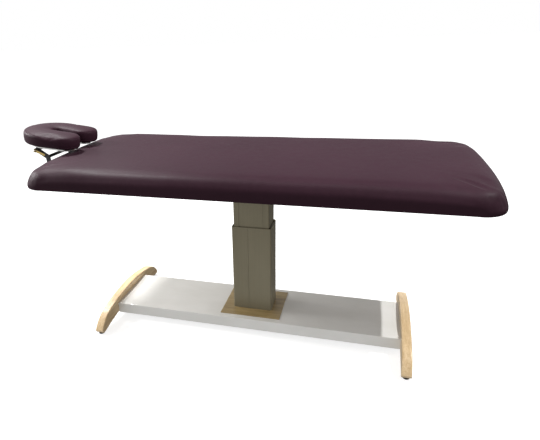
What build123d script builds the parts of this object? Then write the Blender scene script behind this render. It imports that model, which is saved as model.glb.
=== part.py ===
from build123d import *
from math import atan2, cos, degrees, hypot, pi, radians, sin, sqrt
import os

# Electric-lift massage table: a flat padded top on one telescopic column, a low platform base on
# two bow-shaped wooden feet, and a crescent face cradle plugged into the head end.
# +Z is up, the head end is at -X. Sizes are in millimetres, worked out from the column's axis.

# Table top
TOP_LENGTH = 1854.0
TOP_WIDTH = 813.0
TOP_CENTRE_X = 10.0
TOP_CORNER = 103.0
TOP_END_RADIUS = 3370.0
TOP_LOW = 739.0
TOP_HIGH = 825.0
TOP_EDGE_ROUND = 53.0
TOP_UNDER_ROUND = 12.0
VINYL = 1.5
DECK_THICK = 18.0
COVER_WRAP = 45.0

# Base
PLATFORM_LENGTH = 1330.0
PLATFORM_WIDTH = 306.0
PLATFORM_LOW = 28.0
PLATFORM_HIGH = 80.0
COVER_SHEET = 1.5
FOOT_THICK = 40.0
FOOT_HALF_SPAN = 322.0
FOOT_SHOULDER = 240.0
FOOT_TOP_MIDDLE = 115.0
FOOT_TOP_SHOULDER = 84.0
FOOT_CURL_Y = 298.0
FOOT_CURL_Z = 52.0
FOOT_LOW = 10.0
FOOT_ARCH = 38.0
FOOT_PAD_AT = 300.0
FOOT_PAD_RADIUS = 14.0
BASE_RAIL = 40.0
BASE_RAIL_AT = 110.0
BASE_WALL = 2.5
END_PLATE = 8.0

# Column
OUTER_X = 180.0
OUTER_Y = 124.0
OUTER_TOP = 499.0
OUTER_WALL = 3.0
OUTER_CORNER = 6.0
OUTER_SEAM_AT = -14.5
INNER_X = 163.0
INNER_Y = 113.0
INNER_WALL = 3.0
INNER_CORNER = 5.0
INNER_LOW = 249.0
INNER_GROOVE_AT = 55.0
FOOT_PLATE_THICK = 8.0
SLIDE_GAP = 0.3
PAD_HEIGHT = 40.0
TRIM_X = 280.0
TRIM_Y = 248.0
TRIM_THICK = 4.0

# Drive inside the column
SPINDLE_AT = 30.0
SPINDLE_RADIUS = 9.0
SPINDLE_LOW = 335.0
RUNNING_GAP = 0.05
HOLE_GAP = 0.1
NUT_RADIUS = 17.0
NUT_HIGH = 478.0
NUT_HEIGHT = 30.0
GEAR_MODULE = 2.0
PINION_TEETH = 14
WHEEL_TEETH = 42
GEAR_LOW = 706.0
GEAR_THICK = 9.0
MOTOR_RADIUS = 27.0
MOTOR_LENGTH = 110.0

# Frame under the deck
HEAD_PLATE = 8.0
HEAD_PLATE_X = 300.0
HEAD_PLATE_Y = 300.0
FRAME_RAIL_Y = 190.0
FRAME_RAIL_LENGTH = 1470.0
FRAME_TUBE = 30.0
FRAME_DEEP = 48.0
FRAME_WALL = 2.5

# Outlets and face cradle
OUTLET_SPACING = 222.0
OUTLET_BORE_RADIUS = 11.25
OUTLET_BUSH_RADIUS = 14.0
OUTLET_Z = 723.0
OUTLET_INNER = 740.0
OUTLET_OUTER = 874.0
POST_RADIUS = 11.0
POST_LENGTH = 214.0
CROSS_BAR = 28.0
CROSS_BAR_X = 968.0
CROSS_BAR_HALF = 130.0
LOWER_AXLE = (-966.0, 752.0)
ARM_BEND = (-971.0, 799.0)
UPPER_AXLE = (-1023.0, 831.0)
AXLE_RADIUS = 5.0
ARM_WIDE = 22.0
ARM_THICK = 6.0
ARM_Y = 88.0
PAD_CENTRE = (-951.0, 883.0)
PAD_TILT = 6.5
FACE_BEND = 85.0
FACE_BEND_X = -13.0
FACE_BAND = 134.0
FACE_ARM = 89.0
FACE_ARM_TURN = 4.0
FACE_THICK = 64.0
FACE_ROUND = 18.0
PLATE_THICK = 6.0
HOOK_THICK = 3.0

MIDDLE_DECK = TOP_LOW + VINYL
DECK_HIGH = MIDDLE_DECK + DECK_THICK
BASE_TOP = PLATFORM_LOW + FOOT_PLATE_THICK
LOW_CENTRE = (Align.CENTER, Align.CENTER, Align.MIN)

nodes = {}


def block(x, y, z):
    """A box between a low and a high value along each axis."""
    size = Box(x[1] - x[0], y[1] - y[0], z[1] - z[0])
    return Pos((x[0] + x[1]) / 2, (y[0] + y[1]) / 2, (z[0] + z[1]) / 2) * size


def rod(start, end, radius):
    """A round bar from one point to another."""
    line = Vector(*end) - Vector(*start)
    return Plane(origin=start, z_dir=line) * Cylinder(radius, line.length, align=LOW_CENTRE)


def along(start, end, distance):
    """The point at a distance from start towards end."""
    line = Vector(*end) - Vector(*start)
    return tuple(Vector(*start) + line.normalized() * distance)


def screw(head, tip, shank, head_radius, head_high):
    """A pan-head screw whose head sits outside the point named head."""
    outside = along(head, tip, -head_high)
    bar = rod(outside, tip, shank) + rod(outside, head, head_radius)
    socket = rod(outside, along(outside, tip, head_high * 0.5), shank * 0.6)
    return bar - socket


def drill(part, holes, radius):
    """Takes round holes for bars of a radius out of a part; each hole is a pair of end points."""
    for start, end in holes:
        part = part - rod(start, end, radius + HOLE_GAP)
    return part


def solids_of(shapes):
    """Several separate solids as one node."""
    return Compound([solid for shape in shapes for solid in shape.solids()])


def tube(x, y, z, wall, axis):
    """A rectangular tube that is open at both ends of one axis."""
    inside = [x, y, z]
    for index in range(3):
        low, high = inside[index]
        if index == axis:
            inside[index] = (low - 1, high + 1)
        else:
            inside[index] = (low + wall, high - wall)
    return block(x, y, z) - block(*inside)


def mirrored_pairs(x, y):
    return [(sx * x, sy * y) for sx in (-1, 1) for sy in (-1, 1)]


# ---------------------------------------------------------------- base

def foot_profile():
    """The side view of a bow foot, in Y and Z: arched above and below, rounded at its ends."""
    shoulder = (FOOT_SHOULDER, FOOT_TOP_SHOULDER)
    tip = (FOOT_HALF_SPAN, FOOT_LOW + 14)
    toe = (FOOT_HALF_SPAN - 8, FOOT_LOW)
    heel = (FOOT_PAD_AT - FOOT_PAD_RADIUS - 4, FOOT_LOW)
    far_side = [(-y, z) for y, z in (shoulder, tip, toe, heel)]
    other_shoulder, other_tip, other_toe, other_heel = far_side
    outline = Curve() + [
        ThreePointArc(other_shoulder, (0, FOOT_TOP_MIDDLE), shoulder),
        ThreePointArc(shoulder, (FOOT_CURL_Y, FOOT_CURL_Z), tip),
        Line(tip, toe),
        Line(toe, heel),
        ThreePointArc(heel, (0, FOOT_ARCH), other_heel),
        Line(other_heel, other_toe),
        Line(other_toe, other_tip),
        ThreePointArc(other_tip, (-FOOT_CURL_Y, FOOT_CURL_Z), other_shoulder),
    ]
    return make_face(outline)


FOOT_BOLT_RADIUS = 4.0
FOOT_BOLT_HEAD = 8.0
FOOT_BOLT_SINK = 5.0
FOOT_BOLT_Z = 56.0
FOOT_BOLTS = [(y, FOOT_BOLT_Z) for y in (-100.0, -50.0, 50.0, 100.0)]
FOOT_EDGE_ROUND = 5.0
FOOT_PAD_YS = (-FOOT_PAD_AT, FOOT_PAD_AT)
PAD_SCREW_RADIUS = 2.0
PAD_SCREW_SEAT = 4.0
PAD_SCREW_DEEP = 14.0


def foot(side):
    inner = PLATFORM_LENGTH / 2
    beam = extrude(Plane.YZ.offset(inner) * foot_profile(), FOOT_THICK)
    beam = fillet(beam.edges().filter_by(GeomType.CIRCLE), FOOT_EDGE_ROUND)
    outer = inner + FOOT_THICK
    seat = outer - FOOT_BOLT_SINK
    x = inner + FOOT_THICK / 2
    pad_hole_top = FOOT_LOW + PAD_SCREW_DEEP + 2
    bolt_holes = [((inner - 1, y, z), (outer + 1, y, z)) for y, z in FOOT_BOLTS]
    head_holes = [((seat, y, z), (outer + 1, y, z)) for y, z in FOOT_BOLTS]
    pad_holes = [((x, y, FOOT_LOW - 1), (x, y, pad_hole_top)) for y in FOOT_PAD_YS]
    beam = drill(beam, bolt_holes, FOOT_BOLT_RADIUS)
    beam = drill(beam, head_holes, FOOT_BOLT_HEAD)
    beam = drill(beam, pad_holes, PAD_SCREW_RADIUS)
    return beam if side > 0 else mirror(beam, about=Plane.YZ)


nodes["head_foot"] = foot(-1)
nodes["tail_foot"] = foot(1)

foot_bolts = []
pads = []
pad_screws = []
for side in (-1, 1):
    outer = side * (PLATFORM_LENGTH / 2 + FOOT_THICK)
    seat_x = outer - side * FOOT_BOLT_SINK
    tip_x = side * (PLATFORM_LENGTH / 2 - END_PLATE - 6)
    for y, z in FOOT_BOLTS:
        bolt = screw((seat_x, y, z), (tip_x, y, z), FOOT_BOLT_RADIUS, FOOT_BOLT_HEAD, 4.0)
        foot_bolts.append(bolt)
    for y in FOOT_PAD_YS:
        x = side * (PLATFORM_LENGTH / 2 + FOOT_THICK / 2)
        seat = (x, y, PAD_SCREW_SEAT)
        pad = rod((x, y, 0), (x, y, FOOT_LOW), FOOT_PAD_RADIUS)
        pad = chamfer(pad.edges().group_by(Axis.Z)[0], 1.5)
        pad = drill(pad, [((x, y, 0), seat)], 5.5)
        tip = (x, y, FOOT_LOW + PAD_SCREW_DEEP)
        pads.append(drill(pad, [((x, y, 0), (x, y, FOOT_LOW))], PAD_SCREW_RADIUS))
        pad_screws.append(screw(seat, tip, PAD_SCREW_RADIUS, 4.5, 2.5))
nodes["foot_bolts"] = solids_of(foot_bolts)
nodes["floor_pads"] = solids_of(pads)
nodes["floor_pad_screws"] = solids_of(pad_screws)

rail_end = PLATFORM_LENGTH / 2 - END_PLATE
rail_half = BASE_RAIL / 2
nodes["base_rails"] = solids_of(
    tube(
        (-rail_end, rail_end),
        (side * BASE_RAIL_AT - rail_half, side * BASE_RAIL_AT + rail_half),
        (BASE_TOP, BASE_TOP + BASE_RAIL),
        BASE_WALL,
        0,
    )
    for side in (-1, 1)
)
CROSS_TUBE_AT = (-330.0, -125.0, 125.0, 330.0)
cross_half = BASE_RAIL_AT - rail_half
nodes["base_cross_tubes"] = solids_of(
    tube((x - 15, x + 15), (-cross_half, cross_half), (BASE_TOP, BASE_TOP + 30), BASE_WALL, 1)
    for x in CROSS_TUBE_AT
)

end_plates = []
for side in (-1, 1):
    low, high = sorted((side * rail_end, side * PLATFORM_LENGTH / 2))
    plate = block((low, high), (-138, 138), (PLATFORM_LOW + 3, PLATFORM_HIGH - 4))
    holes = [((low - 1, y, z), (high + 1, y, z)) for y, z in FOOT_BOLTS]
    end_plates.append(drill(plate, holes, FOOT_BOLT_RADIUS))
nodes["base_end_plates"] = solids_of(end_plates)

half_length = PLATFORM_LENGTH / 2
half_width = PLATFORM_WIDTH / 2
cover_z = (PLATFORM_LOW, PLATFORM_HIGH)
cover = block((-half_length, half_length), (-half_width, half_width), cover_z)
cover = fillet(cover.edges().filter_by(Axis.X).group_by(Axis.Z)[-1], 3)
hollow = block(
    (-half_length - 1, half_length + 1),
    (-half_width + COVER_SHEET, half_width - COVER_SHEET),
    (PLATFORM_LOW - 1, PLATFORM_HIGH - COVER_SHEET),
)
opening = Pos(0, 0, PLATFORM_HIGH) * Box(OUTER_X + 1, OUTER_Y + 1, 20)
nodes["platform_cover"] = cover - hollow - opening

COLUMN_BOLTS = mirrored_pairs(60, BASE_RAIL_AT)
COLUMN_BOLT_RADIUS = 4.0
column_bolt_top = BASE_TOP + BASE_WALL + 1
column_bolt_holes = [((x, y, PLATFORM_LOW - 1), (x, y, column_bolt_top)) for x, y in COLUMN_BOLTS]
foot_plate = block((-150, 150), (-132, 132), (PLATFORM_LOW, BASE_TOP))
nodes["column_foot_plate"] = drill(foot_plate, column_bolt_holes, COLUMN_BOLT_RADIUS)
nodes["base_rails"] = solids_of(
    drill(rail, column_bolt_holes, COLUMN_BOLT_RADIUS) for rail in nodes["base_rails"].solids()
)
nodes["column_foot_bolts"] = solids_of(
    screw((x, y, PLATFORM_LOW), (x, y, BASE_TOP + 14), COLUMN_BOLT_RADIUS, 7.0, 4.0)
    for x, y in COLUMN_BOLTS
)

# ---------------------------------------------------------------- column

def column_profile(length, width, wall, corner):
    outer = RectangleRounded(length, width, corner)
    inner = RectangleRounded(length - 2 * wall, width - 2 * wall, corner - wall)
    return outer - inner


outer_profile = column_profile(OUTER_X, OUTER_Y, OUTER_WALL, OUTER_CORNER)
outer_column = Pos(0, 0, BASE_TOP) * extrude(outer_profile, OUTER_TOP - BASE_TOP)
for side in (-1, 1):
    seam = block(
        (OUTER_SEAM_AT - 1.2, OUTER_SEAM_AT + 1.2),
        (side * OUTER_Y / 2 - 1.2, side * OUTER_Y / 2 + 1.2),
        (PLATFORM_HIGH, OUTER_TOP + 1),
    )
    outer_column = outer_column - seam
nodes["outer_column"] = outer_column

inner_profile = column_profile(INNER_X, INNER_Y, INNER_WALL, INNER_CORNER)
inner_high = MIDDLE_DECK - HEAD_PLATE
inner_column = Pos(0, 0, INNER_LOW) * extrude(inner_profile, inner_high - INNER_LOW)
for side in (-1, 1):
    for x in (-INNER_GROOVE_AT, INNER_GROOVE_AT):
        groove = block(
            (x - 2, x + 2),
            (side * INNER_Y / 2 - 1.2, side * INNER_Y / 2 + 1.2),
            (INNER_LOW - 1, MIDDLE_DECK),
        )
        inner_column = inner_column - groove
nodes["inner_column"] = inner_column


def slide_pads(low, inside, thickness_x, thickness_y):
    """Four flat wear pads round a rectangle of the inside size, between two column sections."""
    half_x, half_y = inside[0] / 2, inside[1] / 2
    pads = []
    for side in (-1, 1):
        x = sorted((side * half_x, side * (half_x + thickness_x)))
        y = sorted((side * half_y, side * (half_y + thickness_y)))
        pads.append(block(x, (-38, 38), (low, low + PAD_HEIGHT)))
        for centre in (-34, 34):
            pads.append(block((centre - 16, centre + 16), y, (low, low + PAD_HEIGHT)))
    return pads


outer_hollow = (OUTER_X - 2 * OUTER_WALL, OUTER_Y - 2 * OUTER_WALL)
gap_x = (outer_hollow[0] - INNER_X) / 2
gap_y = (outer_hollow[1] - INNER_Y) / 2
nodes["outer_slide_pads"] = solids_of(
    slide_pads(
        OUTER_TOP - PAD_HEIGHT - 4,
        (INNER_X + 2 * SLIDE_GAP, INNER_Y + 2 * SLIDE_GAP),
        gap_x - SLIDE_GAP,
        gap_y - SLIDE_GAP,
    )
)
nodes["inner_slide_pads"] = solids_of(
    slide_pads(INNER_LOW, (INNER_X, INNER_Y), gap_x - SLIDE_GAP, gap_y - SLIDE_GAP)
)

trim_z = (PLATFORM_HIGH, PLATFORM_HIGH + TRIM_THICK)
trim = block((-TRIM_X / 2, TRIM_X / 2), (-TRIM_Y / 2, TRIM_Y / 2), trim_z)
trim = chamfer(trim.edges().group_by(Axis.Z)[-1], 1.2)
trim_hole = RectangleRounded(OUTER_X + 0.4, OUTER_Y + 0.4, OUTER_CORNER + 0.2)
nodes["trim_plate"] = trim - Pos(0, 0, PLATFORM_HIGH) * extrude(trim_hole, 2 * TRIM_THICK)

# Spindle drive: the nut stands on a tube from the base, the spindle hangs from the gear case.
nut_low = NUT_HIGH - NUT_HEIGHT
tube_ends = (SPINDLE_AT, 0, BASE_TOP), (SPINDLE_AT, 0, nut_low)
nut_ends = (SPINDLE_AT, 0, nut_low), (SPINDLE_AT, 0, NUT_HIGH)
nodes["nut_tube"] = rod(*tube_ends, NUT_RADIUS) - rod(*tube_ends, SPINDLE_RADIUS + 4)
nodes["spindle_nut"] = rod(*nut_ends, NUT_RADIUS) - rod(*nut_ends, SPINDLE_RADIUS + RUNNING_GAP)

HEAD_LOW = MIDDLE_DECK - HEAD_PLATE
BEARING_RADIUS = 14.0
SHAFT_RADIUS = 4.0
SHAFT_GAP = 0.5
CASE_LOW = 698.0
CASE_WALL = 3.0
CASE_X = (-58.0, 78.0)
CASE_Y = 49.0
CASE_BOLT_RADIUS = 2.5
CASE_BOLTS = [(x, y) for x in (CASE_X[0] + 2, CASE_X[1] - 6) for y in (-42.0, 42.0)]
MOTOR_AT = SPINDLE_AT - GEAR_MODULE * (PINION_TEETH + WHEEL_TEETH) / 2
GEAR_HIGH = GEAR_LOW + GEAR_THICK


def gear(teeth, turned):
    """A spur gear's outline with plain flanks and room between the teeth."""
    pitch = GEAR_MODULE * teeth / 2
    root = pitch - 1.25 * GEAR_MODULE
    tip = pitch + 0.85 * GEAR_MODULE
    step = 2 * pi / teeth
    shares = ((-0.30, root), (-0.11, tip), (0.11, tip), (0.30, root))
    points = []
    for tooth in range(teeth):
        for share, radius in shares:
            angle = (tooth + share + turned) * step
            points.append((radius * cos(angle), radius * sin(angle)))
    return make_face(Polyline(*points, close=True))


gear_ends = (SPINDLE_AT, 0, GEAR_LOW), (SPINDLE_AT, 0, GEAR_HIGH)
wheel = Pos(SPINDLE_AT, 0, GEAR_LOW) * extrude(gear(WHEEL_TEETH, 0.0), GEAR_THICK)
nodes["spindle_gear"] = wheel - rod(*gear_ends, SPINDLE_RADIUS + RUNNING_GAP)
nodes["spindle"] = rod((SPINDLE_AT, 0, SPINDLE_LOW), (SPINDLE_AT, 0, GEAR_HIGH + 8), SPINDLE_RADIUS)
pinion = Pos(MOTOR_AT, 0, GEAR_LOW) * extrude(gear(PINION_TEETH, 0.5), GEAR_THICK)
shaft_ends = (MOTOR_AT, 0, CASE_LOW - 12), (MOTOR_AT, 0, GEAR_HIGH + 4)
nodes["motor_pinion"] = pinion + rod(*shaft_ends, SHAFT_RADIUS)

case_floor = (CASE_LOW - 1, CASE_LOW + CASE_WALL + 1)
case = block(CASE_X, (-CASE_Y, CASE_Y), (CASE_LOW, HEAD_LOW))
case = case - block(
    (CASE_X[0] + CASE_WALL, CASE_X[1] - CASE_WALL),
    (-CASE_Y + CASE_WALL, CASE_Y - CASE_WALL),
    (CASE_LOW + CASE_WALL, HEAD_LOW - CASE_WALL),
)
for x, y in CASE_BOLTS:
    case = case + rod((x, y, CASE_LOW), (x, y, HEAD_LOW), 5.0)
spindle_hole = (SPINDLE_AT, 0, case_floor[0]), (SPINDLE_AT, 0, case_floor[1])
shaft_hole = (MOTOR_AT, 0, case_floor[0]), (MOTOR_AT, 0, case_floor[1])
case = drill(case, [spindle_hole], BEARING_RADIUS)
case = drill(case, [shaft_hole], SHAFT_RADIUS + SHAFT_GAP)
case_bolt_holes = [((x, y, CASE_LOW - 1), (x, y, MIDDLE_DECK + 1)) for x, y in CASE_BOLTS]
nodes["gear_case"] = drill(case, case_bolt_holes, CASE_BOLT_RADIUS)
bearing_ends = (SPINDLE_AT, 0, CASE_LOW - 4), (SPINDLE_AT, 0, CASE_LOW + CASE_WALL + 2)
bearing_hole = (SPINDLE_AT, 0, CASE_LOW - 5), (SPINDLE_AT, 0, GEAR_LOW)
bearing = rod(*bearing_ends, BEARING_RADIUS)
nodes["spindle_bearing"] = bearing - rod(*bearing_hole, SPINDLE_RADIUS + RUNNING_GAP)
motor_low = CASE_LOW - MOTOR_LENGTH
motor = rod((MOTOR_AT, 0, motor_low), (MOTOR_AT, 0, CASE_LOW), MOTOR_RADIUS)
motor = fillet(motor.edges().group_by(Axis.Z)[0], 4)
motor = motor - rod((SPINDLE_AT, 0, motor_low - 1), (SPINDLE_AT, 0, CASE_LOW), NUT_RADIUS + 4)
motor_bore = [((MOTOR_AT, 0, CASE_LOW - 13), (MOTOR_AT, 0, CASE_LOW + 1))]
nodes["lift_motor"] = drill(motor, motor_bore, SHAFT_RADIUS + SHAFT_GAP)
nodes["gear_case_bolts"] = solids_of(
    screw((x, y, CASE_LOW), (x, y, MIDDLE_DECK - 1), CASE_BOLT_RADIUS, 4.5, 3.0)
    for x, y in CASE_BOLTS
)

# ---------------------------------------------------------------- frame under the deck

HEAD_BOLTS = mirrored_pairs(130, 120)
HEAD_BOLT_RADIUS = 4.0
HEAD_BOLT_HEAD = 7.0
HEAD_BOLT_SINK = 3.5
head_bolt_seat = MIDDLE_DECK - HEAD_BOLT_SINK
head_x = (-HEAD_PLATE_X / 2, HEAD_PLATE_X / 2)
head_y = (-HEAD_PLATE_Y / 2, HEAD_PLATE_Y / 2)
head_bolt_holes = [((x, y, HEAD_LOW - 1), (x, y, MIDDLE_DECK + 1)) for x, y in HEAD_BOLTS]
head_bolt_seats = [((x, y, head_bolt_seat), (x, y, MIDDLE_DECK + 1)) for x, y in HEAD_BOLTS]
head_plate = drill(block(head_x, head_y, (HEAD_LOW, MIDDLE_DECK)), head_bolt_holes, HEAD_BOLT_RADIUS)
head_plate = drill(head_plate, head_bolt_seats, HEAD_BOLT_HEAD)
nodes["head_plate"] = drill(head_plate, case_bolt_holes, CASE_BOLT_RADIUS)

FRAME_LOW = MIDDLE_DECK - FRAME_DEEP
FRAME_INSIDE = FRAME_RAIL_Y - FRAME_TUBE / 2
nodes["frame_rails"] = solids_of(
    tube(
        (-FRAME_RAIL_LENGTH / 2, FRAME_RAIL_LENGTH / 2),
        (side * FRAME_RAIL_Y - FRAME_TUBE / 2, side * FRAME_RAIL_Y + FRAME_TUBE / 2),
        (FRAME_LOW, MIDDLE_DECK),
        FRAME_WALL,
        0,
    )
    for side in (-1, 1)
)
FRAME_CROSS_TUBES = ((-650, MIDDLE_DECK), (-130, HEAD_LOW), (130, HEAD_LOW), (650, MIDDLE_DECK))
cross_tubes = []
for x, top in FRAME_CROSS_TUBES:
    cross = tube((x - 15, x + 15), (-FRAME_INSIDE, FRAME_INSIDE), (FRAME_LOW, top), FRAME_WALL, 1)
    under_head = top == HEAD_LOW
    holes = [((x, y, top - FRAME_WALL - 1), (x, y, top + 1)) for y in (-120, 120) if under_head]
    cross_tubes.append(drill(cross, holes, HEAD_BOLT_RADIUS))
nodes["frame_cross_tubes"] = solids_of(cross_tubes)
nodes["head_plate_bolts"] = solids_of(
    screw((x, y, head_bolt_seat), (x, y, HEAD_LOW - 12), HEAD_BOLT_RADIUS, HEAD_BOLT_HEAD, 3.5)
    for x, y in HEAD_BOLTS
)


def top_outline(inset):
    """The table top's plan, inset by a distance: straight sides, gently bowed ends, round corners."""
    half_x = TOP_LENGTH / 2 - inset
    half_y = TOP_WIDTH / 2 - inset
    end_radius = TOP_END_RADIUS - inset
    corner_x = half_x - (end_radius - sqrt(end_radius**2 - half_y**2))
    outline = Curve() + [
        Line((-corner_x, -half_y), (corner_x, -half_y)),
        ThreePointArc((corner_x, -half_y), (half_x, 0), (corner_x, half_y)),
        Line((corner_x, half_y), (-corner_x, half_y)),
        ThreePointArc((-corner_x, half_y), (-half_x, 0), (-corner_x, -half_y)),
    ]
    plan = make_face(outline)
    return fillet(plan.vertices(), TOP_CORNER - inset)


def slab(inset, low, high, top_round, low_round):
    """A block with the table top's plan, inset by a distance, with its long edges rounded."""
    body = Pos(TOP_CENTRE_X, 0, low) * extrude(top_outline(inset), high - low)
    if top_round:
        body = fillet(body.edges().group_by(Axis.Z)[-1], top_round)
    if low_round:
        body = fillet(body.edges().group_by(Axis.Z)[0], low_round)
    return body


DECK_SCREWS = [(sx, sy * FRAME_RAIL_Y) for sx in (-700.0, -350.0, 350.0, 700.0) for sy in (-1, 1)]
WOOD_SCREW_RADIUS = 2.5
WOOD_SCREW_HEAD = 5.0
DRIVER_HOLE_RADIUS = 6.0
deck_screw_top = MIDDLE_DECK + 13
deck_screw_seat = MIDDLE_DECK - FRAME_WALL
driver_hole_top = FRAME_LOW + FRAME_WALL + 1
deck_screw_holes = [((x, y, deck_screw_seat - 1), (x, y, deck_screw_top)) for x, y in DECK_SCREWS]
driver_holes = [((x, y, FRAME_LOW - 1), (x, y, driver_hole_top)) for x, y in DECK_SCREWS]
deck = slab(VINYL, MIDDLE_DECK, DECK_HIGH, 0, TOP_UNDER_ROUND - VINYL)
deck = drill(deck, deck_screw_holes, WOOD_SCREW_RADIUS)
rails = []
for rail in nodes["frame_rails"].solids():
    rail = drill(rail, deck_screw_holes, WOOD_SCREW_RADIUS)
    rails.append(drill(rail, driver_holes, DRIVER_HOLE_RADIUS))
nodes["frame_rails"] = solids_of(rails)
nodes["deck_screws"] = solids_of(
    screw((x, y, deck_screw_seat), (x, y, deck_screw_top), WOOD_SCREW_RADIUS, WOOD_SCREW_HEAD, 3.0)
    for x, y in DECK_SCREWS
)

outer_skin = slab(0, TOP_LOW, TOP_HIGH, TOP_EDGE_ROUND, TOP_UNDER_ROUND)
edge_rounds = (TOP_EDGE_ROUND - VINYL, TOP_UNDER_ROUND - VINYL)
inner_skin = slab(VINYL, MIDDLE_DECK, TOP_HIGH - VINYL, *edge_rounds)
under_opening = slab(COVER_WRAP, TOP_LOW - 1, MIDDLE_DECK + 1, 0, 0)
nodes["table_cover"] = outer_skin - inner_skin - under_opening
board_room = block((-TOP_LENGTH, TOP_LENGTH), (-TOP_WIDTH, TOP_WIDTH), (MIDDLE_DECK - 1, DECK_HIGH))
nodes["table_foam"] = inner_skin - board_room

# ---------------------------------------------------------------- accessory outlets

OUTLET_YS = (-OUTLET_SPACING / 2, OUTLET_SPACING / 2)
RAIL_SCREWS = [(x, y) for x in (765.0, 850.0) for y in (-145.0, 0.0, 145.0)]
RAIL_LOW = MIDDLE_DECK - 34
RAIL_SCREW_TOP = MIDDLE_DECK + 12


def from_top_centre(side, distance):
    return TOP_CENTRE_X + side * distance


def rail_screw_lines(side, low):
    places = [(from_top_centre(side, x), y) for x, y in RAIL_SCREWS]
    return [((x, y, low), (x, y, RAIL_SCREW_TOP)) for x, y in places]


def outlet_rail(side):
    x = sorted((from_top_centre(side, OUTLET_INNER), from_top_centre(side, OUTLET_OUTER)))
    rail = block(x, (-165, 165), (RAIL_LOW, MIDDLE_DECK))
    rail = chamfer(rail.edges().filter_by(Axis.Y).group_by(Axis.Z)[0], 3)
    holes = [((x[0] - 1, y, OUTLET_Z), (x[1] + 1, y, OUTLET_Z)) for y in OUTLET_YS]
    rail = drill(rail, holes, OUTLET_BUSH_RADIUS)
    return drill(rail, rail_screw_lines(side, RAIL_LOW - 1), WOOD_SCREW_RADIUS)


def outlet_bushes(side):
    bushes = []
    for y in OUTLET_YS:
        inner_end = (from_top_centre(side, OUTLET_INNER), y, OUTLET_Z)
        collar = (from_top_centre(side, OUTLET_OUTER), y, OUTLET_Z)
        outer_end = (from_top_centre(side, OUTLET_OUTER + 3), y, OUTLET_Z)
        bush = rod(inner_end, outer_end, OUTLET_BUSH_RADIUS)
        bush = bush + rod(collar, outer_end, OUTLET_BUSH_RADIUS + 1.5)
        bushes.append(bush - rod(inner_end, outer_end, OUTLET_BORE_RADIUS))
    return solids_of(bushes)


rail_screws = []
for side, end in ((-1, "head"), (1, "tail")):
    nodes[end + "_outlet_rail"] = outlet_rail(side)
    nodes[end + "_outlet_bushes"] = outlet_bushes(side)
    for seat, tip in rail_screw_lines(side, RAIL_LOW):
        rail_screws.append(screw(seat, tip, WOOD_SCREW_RADIUS, WOOD_SCREW_HEAD, 2.0))
    deck = drill(deck, rail_screw_lines(side, MIDDLE_DECK - 1), WOOD_SCREW_RADIUS)
nodes["outlet_rail_screws"] = solids_of(rail_screws)

# ---------------------------------------------------------------- control box

BOX_X = (190.0, 380.0)
BOX_Y = (-60.0, 60.0)
BOX_LOW = MIDDLE_DECK - 40
BOX_WALL = 3.0
BOX_SCREWS = [(x, y) for x in (198.0, 372.0) for y in (-52.0, 52.0)]
BOX_SCREW_RADIUS = 2.0
BOX_POST_RADIUS = 6.0
SOCKET_Z = BOX_LOW + 20
INLET_Y = (-35.0, -8.0)
INLET_HALF_HIGH = 10.0
INLET_PINS = (-28.0, -21.5, -15.0)
PEDAL_SOCKET_Y = 25.0
LEAD_RADIUS = 3.5
LEAD = (CASE_X[1], 0, SOCKET_Z), (BOX_X[0] + BOX_WALL, 0, SOCKET_Z)


def grown(span, extra):
    return (span[0] - extra, span[1] + extra)


def socket_rod(low, high, radius):
    """A round bar on the pedal socket's axis, between two distances outside the box's end."""
    start = (BOX_X[1] + low, PEDAL_SOCKET_Y, SOCKET_Z)
    return rod(start, (BOX_X[1] + high, PEDAL_SOCKET_Y, SOCKET_Z), radius)


inlet_z = (SOCKET_Z - INLET_HALF_HIGH, SOCKET_Z + INLET_HALF_HIGH)
box_screw_top = MIDDLE_DECK + 9
box_screw_holes = [((x, y, BOX_LOW - 1), (x, y, box_screw_top)) for x, y in BOX_SCREWS]
control_box = block(BOX_X, BOX_Y, (BOX_LOW, MIDDLE_DECK))
control_box = fillet(control_box.edges().filter_by(Axis.Z), 5)
control_box = control_box - block(
    grown(BOX_X, -BOX_WALL), grown(BOX_Y, -BOX_WALL), grown((BOX_LOW, MIDDLE_DECK), -BOX_WALL)
)
for x, y in BOX_SCREWS:
    control_box = control_box + rod((x, y, BOX_LOW), (x, y, MIDDLE_DECK), BOX_POST_RADIUS)
control_box = drill(control_box, box_screw_holes, BOX_SCREW_RADIUS)
inlet_mouth = block((BOX_X[1] - BOX_WALL - 1, BOX_X[1] + 1), INLET_Y, inlet_z)
lead_mouth = rod((BOX_X[0] - 1, 0, SOCKET_Z), (BOX_X[0] + BOX_WALL + 1, 0, SOCKET_Z), LEAD_RADIUS)
nodes["control_box"] = control_box - inlet_mouth - socket_rod(-4, 1, 8.0) - lead_mouth

inlet = block((BOX_X[1] - 24, BOX_X[1]), INLET_Y, inlet_z)
inlet = inlet + block((BOX_X[1], BOX_X[1] + 2), grown(INLET_Y, 3), grown(inlet_z, 3))
inlet = inlet - block((BOX_X[1] - 14, BOX_X[1] + 3), grown(INLET_Y, -3), grown(inlet_z, -3))
for y in INLET_PINS:
    inlet = inlet + rod((BOX_X[1] - 16, y, SOCKET_Z), (BOX_X[1] - 3, y, SOCKET_Z), 1.5)
nodes["mains_inlet"] = inlet
pedal_socket = socket_rod(-14, 0, 8.0) + socket_rod(0, 2, 10.0)
nodes["pedal_socket"] = pedal_socket - socket_rod(-9, 3, 6.0)
nodes["control_box_screws"] = solids_of(
    screw((x, y, BOX_LOW), (x, y, box_screw_top), BOX_SCREW_RADIUS, 4.0, 2.0) for x, y in BOX_SCREWS
)
nodes["deck_board"] = drill(deck, box_screw_holes, BOX_SCREW_RADIUS)

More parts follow.
